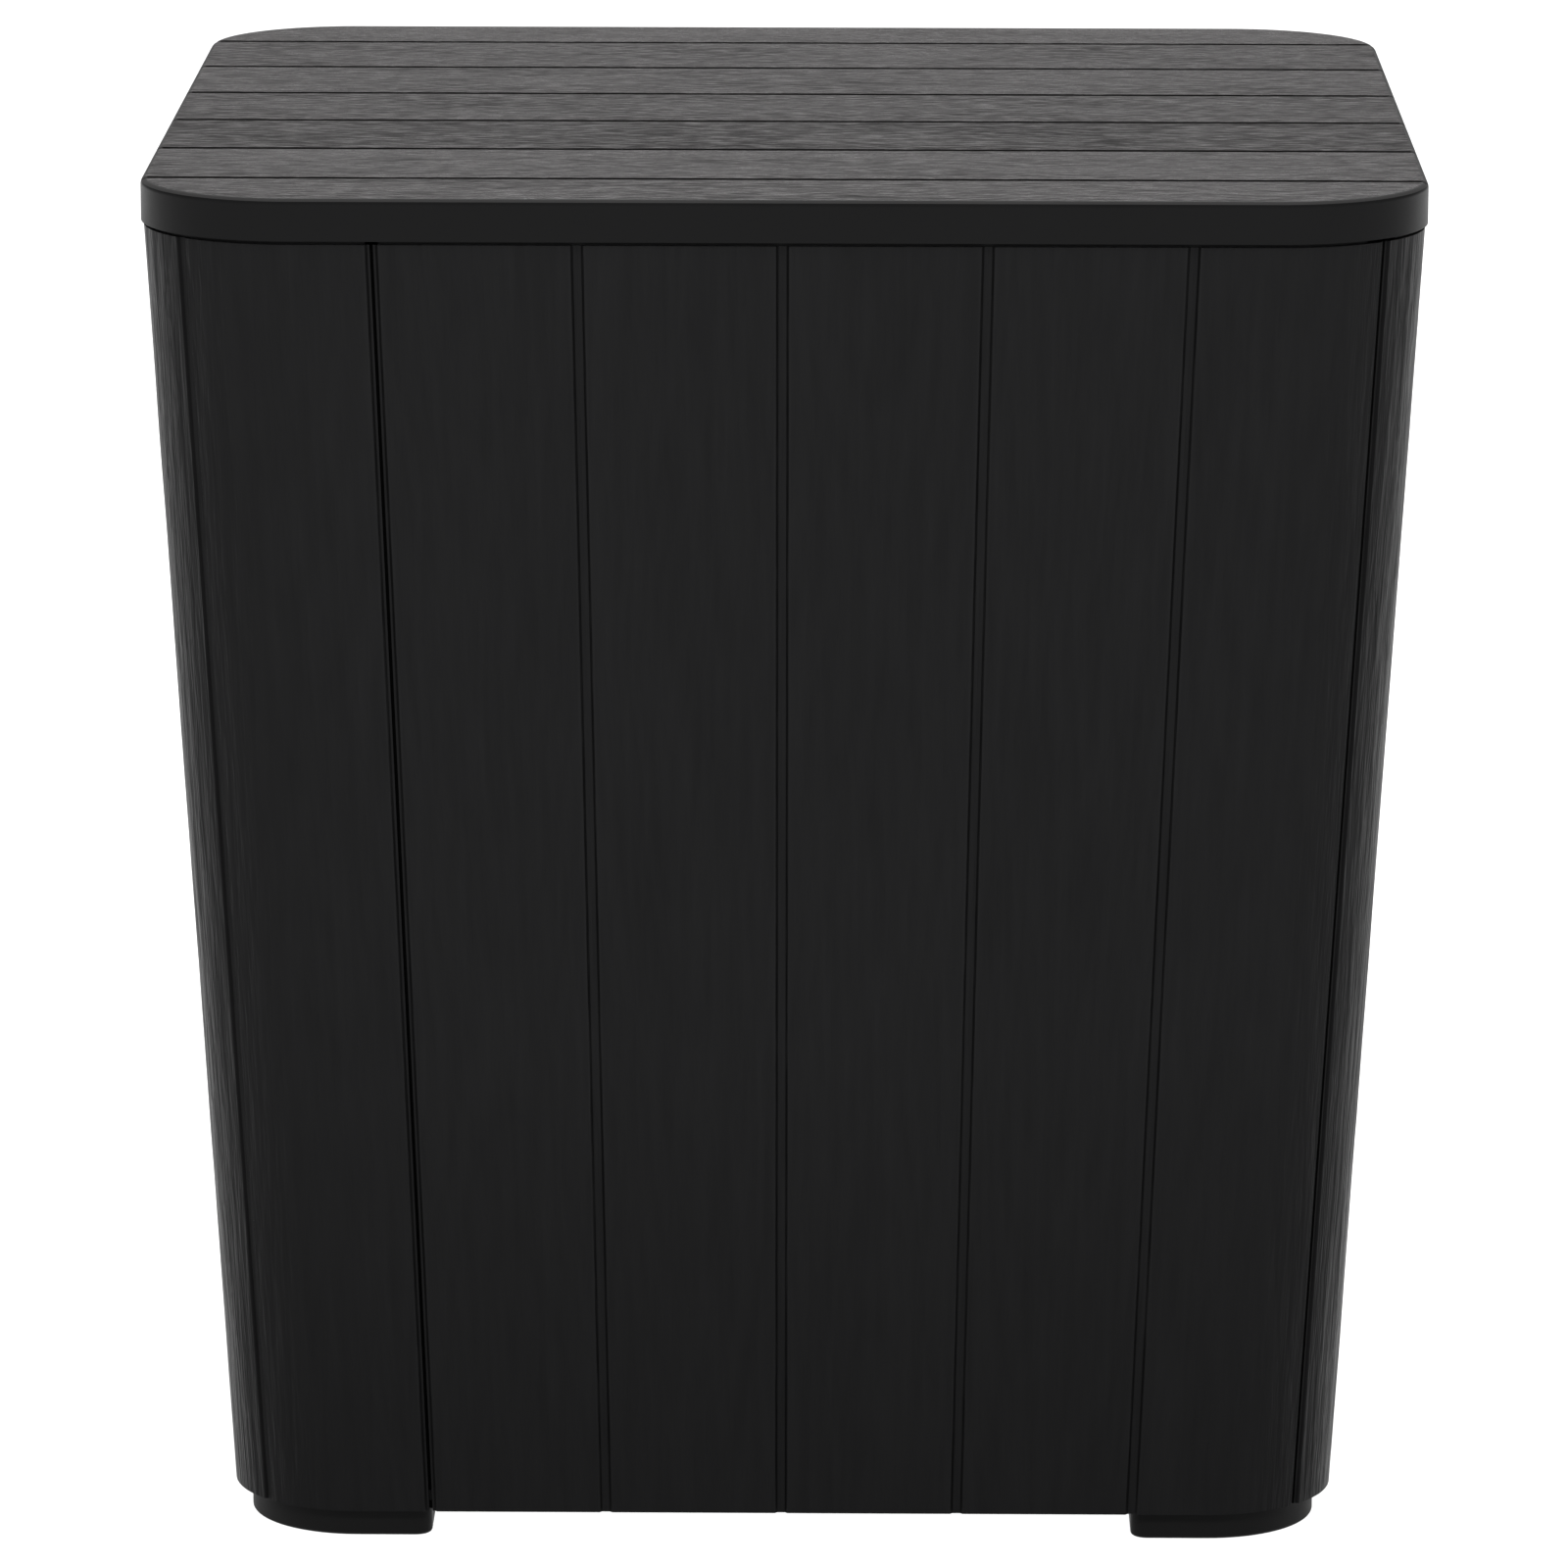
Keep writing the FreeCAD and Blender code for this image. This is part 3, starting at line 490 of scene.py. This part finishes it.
def wall_place(point):
    """Planks to the right of the front's middle, and depth inside the outline."""
    rise = (point.z - WALL_BOTTOM) / (WALL_TOP - WALL_BOTTOM)
    share = (BOTTOM_HALF + (TOP_HALF - BOTTOM_HALF) * rise) / TOP_HALF
    side = round(math.atan2(point.x, -point.y) / (math.pi / 2))
    turned = Matrix.Rotation(-side * math.pi / 2, 2) @ Vector((point.x, point.y)) / share
    reach, out = abs(turned.x), -turned.y
    if reach <= FLAT:
        along, depth = reach, TOP_HALF - out
    else:
        angle = math.atan2(reach - FLAT, out - FLAT)
        along, depth = FLAT + CORNER * angle, CORNER - math.hypot(reach - FLAT, out - FLAT)
    return side * SIDE_PLANKS + math.copysign(along, turned.x) / PITCH, depth * share


def in_seam(lines):
    return any(max(abs(line - seam) for line in lines) < SEAM_REACH for seam in SEAM_LINES)


def map_planks(piece):
    mesh = piece.data
    layer = mesh.uv_layers.get("planks") or mesh.uv_layers.new(name="planks")
    grained = 0
    for face in mesh.polygons:
        middle, depth = wall_place(face.center)
        lines = []
        for loop in face.loop_indices:
            point = mesh.vertices[mesh.loops[loop].vertex_index].co
            line = wall_place(point)[0]
            line -= ALL_PLANKS * round((line - middle) / ALL_PLANKS)
            layer.data[loop].uv = line, point.z
            lines.append(line)
        if depth < SKIN_DEPTH:
            face.material_index = OUTSIDE
            grained += 1
        else:
            # the walls of the open seams take the near-black painted shade
            face.material_index = SEAM if depth < SEAM_DEPTH and in_seam(lines) else INSIDE
    return grained


# %% [markdown]
# In edit mode a tool acts on what is selected, so a small helper selects vertices, edges or faces by
# where they are, as a hand would pick them with the mouse.

# %% Picking parts of a mesh
TOUCHING = 0.00001


def place_of(part):
    if isinstance(part, bmesh.types.BMVert):
        return part.co
    if isinstance(part, bmesh.types.BMEdge):
        return (part.verts[0].co + part.verts[1].co) / 2
    return part.calc_center_median()


def pick(piece, kind, test):
    """Selects the vertices, edges or faces whose place passes a test, and says how many."""
    bpy.ops.mesh.select_mode(type=kind)
    bpy.ops.mesh.select_all(action="DESELECT")
    shape = bmesh.from_edit_mesh(piece.data)
    parts = {"VERT": shape.verts, "EDGE": shape.edges, "FACE": shape.faces}[kind]
    picked = [part for part in parts if test(part, place_of(part))]
    for part in picked:
        part.select_set(True)
    bmesh.update_edit_mesh(piece.data)
    return len(picked)


def upright_edge(edge):
    rise = edge.verts[1].co - edge.verts[0].co
    return abs(rise.z) > 0.9 * rise.length


# %% [markdown]
# A moulded plank is never quite flat, because the mould copies a sawn board with long low waves in it.
# They show where light grazes the round corners. A bump would paint them, but real waves also reach
# the outline, so the planks are cut into a fine grid, first across their long edges and then along,
# and a Displace modifier moves the grid by a cloud texture. The texture reads the plank map, where one
# unit across is a plank and one unit up is a metre, so its round clouds become long streaks. The waves
# are full near the corners and half as high on the flats, and they fade out towards grooves and ends.

# %% Plank waves
WAVE_LIFT, FLAT_WAVES, CORNER_PLANKS = 0.0006, 0.5, 0.6
WAVED_DEPTH, GROOVE_KEPT, END_KEPT, FADE = 0.0003, 0.0027, 0.001, 0.004
plank_waves = bpy.data.textures.new("plank_waves", "CLOUDS")
plank_waves.noise_scale = 0.16
plank_waves.noise_depth = 2


def cut_edges(piece, shortest, longest, cuts):
    """Divides the outer skin's edges between two lengths."""
    pick(piece, "EDGE", lambda edge, place: shortest < edge.calc_length() < longest
         and wall_place(place)[1] < SKIN_DEPTH)
    bpy.ops.mesh.subdivide(number_cuts=cuts)


def wave_weight(point):
    """How much of the waves a point takes, none off the outer skin."""
    line, depth = wall_place(point)
    if depth > WAVED_DEPTH:
        return 0.0
    from_groove = abs(line - round(line)) * PITCH - GROOVE_KEPT
    from_end = min(WALL_TOP - point.z, point.z - WALL_BOTTOM) - END_KEPT
    half_side = SIDE_PLANKS / 2
    from_corner = half_side - abs((line + half_side) % SIDE_PLANKS - half_side)
    height = 1.0 if from_corner < CORNER_PLANKS else FLAT_WAVES
    return max(0.0, min(1.0, from_groove / FADE, from_end / FADE)) * height


def wave_planks(piece, lift):
    group = piece.vertex_groups.new(name="waves")
    for vertex in piece.data.vertices:
        group.add([vertex.index], wave_weight(vertex.co), "REPLACE")
    bpy.ops.object.modifier_add(type="DISPLACE")
    waves = piece.modifiers[-1]
    waves.texture = plank_waves
    waves.texture_coords = "UV"
    waves.uv_layer = "planks"
    waves.vertex_group = group.name
    waves.strength = lift
    waves.mid_level = 0.5
    bpy.ops.object.modifier_apply(modifier=waves.name)
    piece.vertex_groups.clear()


print("wave texture:", plank_waves.name)

# %% [markdown]
# The four walls are thin leaning shells with plank lines, hooks and flanges inside, all right in CAD
# already, so each is a moulded copy. The skin is divided in both directions, mapped, and then waved.
# A wall that goes round a corner has hook-shaped end faces, and a divided edge would be joined straight
# across the hook, so the end faces are cut into triangles first.
# The outside takes the grain, the inside is plain, and the walls of the open seams are painted
# near-black as shade.

# %% Walls
UPRIGHT_CUT = (0.4, 0.5, 35)
PLANK_CUT = (0.04, 0.08, 27)
HALF_PLANK_CUT = (0.02, 0.04, 11)
for side in ("front", "right", "back", "left"):
    panel = moulded_copy(side + "_panel", side + "_wall", THIN_EDGE)
    for finish in (wall_finish, inner_finish, seam_shade_finish):
        panel.data.materials.append(finish)
    bpy.ops.object.mode_set(mode="EDIT")
    pick(panel, "FACE", lambda face, place: abs(face.normal.z) > 0.9)
    bpy.ops.mesh.quads_convert_to_tris()
    for cut in (UPRIGHT_CUT, PLANK_CUT, HALF_PLANK_CUT):
        cut_edges(panel, *cut)
    bpy.ops.object.mode_set(mode="OBJECT")
    grained = map_planks(panel)
    wave_planks(panel, WAVE_LIFT)
    smooth(panel)
    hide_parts(side + "_panel")
    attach(panel, "cabinet")
    print(panel.name, len(panel.data.polygons), "faces,", grained, "of them grained")

# %% [markdown]
# The lid starts as a cube of the lid's size. Its four upright edges are rounded first, then the edge
# round the top.

# %% Lid block
LID_HALF, LID_LOW, LID_TOP = 0.230, 0.4845, 0.500
LID_CORNER, LID_EDGE = 0.0555, 0.0025


def block(name, low, high):
    bpy.ops.object.select_all(action="DESELECT")
    middle = [(a + b) / 2 for a, b in zip(low, high)]
    size = [b - a for a, b in zip(low, high)]
    bpy.ops.mesh.primitive_cube_add(size=1, location=middle, scale=size)
    piece = bpy.context.object
    piece.name = name
    bpy.ops.object.transform_apply()
    return piece


lid = block("plank_lid", (-LID_HALF, -LID_HALF, LID_LOW), (LID_HALF, LID_HALF, LID_TOP))
bpy.ops.object.mode_set(mode="EDIT")
corners = pick(lid, "EDGE", lambda edge, place: upright_edge(edge))
bpy.ops.mesh.bevel(offset=LID_CORNER, segments=24, affect="EDGES")
rounded = pick(lid, "EDGE", lambda edge, place: place.z > LID_TOP - TOUCHING)
bpy.ops.mesh.bevel(offset=LID_EDGE, segments=6, affect="EDGES")
print(lid.name, corners, "corners rounded, then", rounded, "edges round the top")

# %% [markdown]
# Six grooves part the lid into planks. Each is cut with four straight bisects, two for its shoulders
# and two for its floor, and then the strip between the inner cuts is pressed down one millimetre.
# Pressing to one level also carries the groove out through the rounded edge, as on the real lid.

# %% Lid grooves
GROOVE_HALF, GROOVE_FLOOR, GROOVE_DEPTH = 0.0023, 0.0014, 0.001
LID_GROOVES = 6
CUT_DEPTH = LID_EDGE + 0.0001
groove_lines = [(step - (LID_GROOVES - 1) / 2) * PITCH for step in range(LID_GROOVES)]


def in_groove(vert, place):
    nearest = min(abs(place.y - line) for line in groove_lines)
    return place.z > LID_TOP - GROOVE_DEPTH and nearest < GROOVE_FLOOR + TOUCHING


for line in groove_lines:
    for shift in (-GROOVE_HALF, -GROOVE_FLOOR, GROOVE_FLOOR, GROOVE_HALF):
        pick(lid, "FACE", lambda face, place: place.z > LID_TOP - CUT_DEPTH)
        bpy.ops.mesh.bisect(plane_co=(0, line + shift, 0), plane_no=(0, 1, 0))
pressed = pick(lid, "VERT", in_groove)
bpy.ops.transform.resize(value=(1, 1, 0), center_override=(0, 0, LID_TOP - GROOVE_DEPTH))
print(lid.name, pressed, "points pressed into", len(groove_lines), "grooves")

# %% [markdown]
# Underneath, the lid is a shallow tray that the liner closes: the bottom face is inset by the rim's
# thickness and pushed up to the skin. A Bevel modifier then takes the sharpness off every edge left.
# The grain stops where the lid's edge starts to round over. The round itself takes a lighter satin, a
# painted highlight along the edge, and the rim below it is plain, so faces take their finish by how far
# they lie inside the outline and by how steep they are.

# %% Lid tray and edges
LID_RIM, TRAY_DEPTH = 0.004, 0.012
GRAINED, EDGE_HIGHLIGHT, RIM, UNDERSIDE = range(4)


def from_outline(place):
    """Distance inside the lid's outline."""
    across, along = (abs(part) - (LID_HALF - LID_CORNER) for part in (place.x, place.y))
    return LID_CORNER - (math.hypot(across, along) if min(across, along) > 0 else max(across, along))


def lid_part(face):
    rise = face.normal.z
    if face.center.z > LID_TOP - LID_EDGE:
        if rise > 0.95 or from_outline(face.center) > LID_EDGE and rise > 0.6:
            return GRAINED
        # the steeper faces of the round take the painted highlight
        return EDGE_HIGHLIGHT if rise > 0.45 else RIM
    outward = face.normal.xy.dot(face.center.xy.normalized())
    return RIM if outward > 0.3 else UNDERSIDE


pick(lid, "FACE", lambda face, place: face.normal.z < -0.9)
bpy.ops.mesh.inset(thickness=LID_RIM)
bpy.ops.transform.translate(value=(0, 0, TRAY_DEPTH))
bpy.ops.object.mode_set(mode="OBJECT")
soften(lid, THIN_EDGE)
smooth(lid)
for finish in (lid_finish, edge_highlight_finish, rim_finish, inner_finish):
    lid.data.materials.append(finish)
for face in lid.data.polygons:
    face.material_index = lid_part(face)
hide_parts("lid_top")
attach(lid, "lid")
print(lid.name, len(lid.data.polygons), "faces")

# %% [markdown]
# One foot is a block with a large round corner outside and small ones inside, a softened tread, and a
# hollow pressed in from the top, where the wall hides it. It is modelled once, at the front right, and
# three copies are turned round the table's middle by quarter turns.

# %% Feet
FOOT_NEAR, FOOT_FAR, FOOT_HEIGHT = 0.1281, 0.1963, 0.011
FOOT_CORNER, FOOT_END_ROUND, TREAD_ROUND = 0.0406, 0.006, 0.0012
FOOT_WALL, FOOT_HOLLOW = 0.003, 0.008
BESIDE = 0.001


def round_upright(piece, ends, radius, steps):
    """Rounds the upright edges that stand at any of the given points of the plan."""
    pick(piece, "EDGE", lambda edge, place: upright_edge(edge)
         and any(math.dist(place.xy, end) < BESIDE for end in ends))
    bpy.ops.mesh.bevel(offset=radius, segments=steps, affect="EDGES")


foot = block("foot_cup_front_right", (FOOT_NEAR, -FOOT_FAR, 0), (FOOT_FAR, -FOOT_NEAR, FOOT_HEIGHT))
bpy.ops.object.mode_set(mode="EDIT")
round_upright(foot, [(FOOT_FAR, -FOOT_FAR)], FOOT_CORNER, 20)
inner_ends = [(FOOT_FAR, -FOOT_NEAR), (FOOT_NEAR, -FOOT_NEAR), (FOOT_NEAR, -FOOT_FAR)]
round_upright(foot, inner_ends, FOOT_END_ROUND, 6)
pick(foot, "EDGE", lambda edge, place: place.z < TOUCHING)
bpy.ops.mesh.bevel(offset=TREAD_ROUND, segments=4, affect="EDGES")
pick(foot, "FACE", lambda face, place: place.z > FOOT_HEIGHT - TOUCHING)
bpy.ops.mesh.inset(thickness=FOOT_WALL)
bpy.ops.transform.translate(value=(0, 0, -FOOT_HOLLOW))
bpy.ops.object.mode_set(mode="OBJECT")
soften(foot, PLATE_EDGE)
smooth(foot)
foot.data.materials.append(foot_finish)
feet = {"foot_front_right": foot}
for turns, node in enumerate(("foot_back_right", "foot_back_left", "foot_front_left"), 1):
    bpy.ops.object.select_all(action="DESELECT")
    foot.select_set(True)
    bpy.context.view_layer.objects.active = foot
    bpy.ops.object.duplicate()
    copy = bpy.context.object
    copy.name = node.replace("foot_", "foot_cup_")
    copy.rotation_euler.z = turns * math.pi / 2
    bpy.ops.object.transform_apply()
    feet[node] = copy
for node, piece in feet.items():
    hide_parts(node)
    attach(piece, "cabinet")
print("feet:", [piece.name for piece in feet.values()])

# %% [markdown]
# The floor panel lies on the flanges inside the walls, and the liner closes the lid's underside. Both
# are plain moulded plates with screw holes, and a hole is easier to keep than to cut again, so they
# are moulded copies in the inner resin.

# %% Floor and liner
for node, body in (("floor_panel", "cabinet"), ("lid_liner", "lid")):
    plate = moulded_copy(node, node.replace("_", "_moulded_"), PLATE_EDGE)
    smooth(plate)
    plate.data.materials.append(inner_finish)
    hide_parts(node)
    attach(plate, body)
    print(plate.name, len(plate.data.polygons), "faces")

# %% [markdown]
# Two hinges at the back carry the lid. Each has a leaf on the wall, a leaf on the lid and a pin through
# their knuckles. The leaves are bent sheet with a black powder coat, and a coat runs thin over an edge
# and rounds it, so they are softened too. Pins and screw heads are plated steel and keep their CAD
# shape.

# %% Hinges and fasteners
for side in ("left", "right"):
    for part, body in (("wall", "cabinet"), ("lid", "lid")):
        node = "hinge_%s_%s_leaf" % (side, part)
        leaf = moulded_copy(node, node.replace("_leaf", "_coated_leaf"), THIN_EDGE)
        smooth(leaf)
        leaf.data.materials.append(coat_finish)
        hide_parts(node)
        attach(leaf, body)
        print(leaf.name, len(leaf.data.polygons), "faces")
fasteners = [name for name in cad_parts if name.endswith(("_pin", "_screws"))]
for name in fasteners:
    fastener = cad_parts[name]
    fastener.data.materials.clear()
    fastener.data.materials.append(steel_finish)
print("plated:", fasteners)

# %% [markdown]
# With the lid up, the inside would be as dark as a real deep box under a dim room. One more fill, wider
# than the table, hangs above it and shines straight down. It leaves out the lid and the floor. Its rim
# reaches past the walls, so it also grazes their outsides softly from above.

# %% Light for the inside
inside_box = soft_box("inside_box", (0, 0, 1.9), (0, 0, 0), (2.6, 2.6), 70)
inside_box.visible_glossy = False
all_but_lid_and_floor = lit_set("all_but_lid_and_floor", [floor, lid], "EXCLUDE")
inside_box.light_linking.receiver_collection = all_but_lid_and_floor
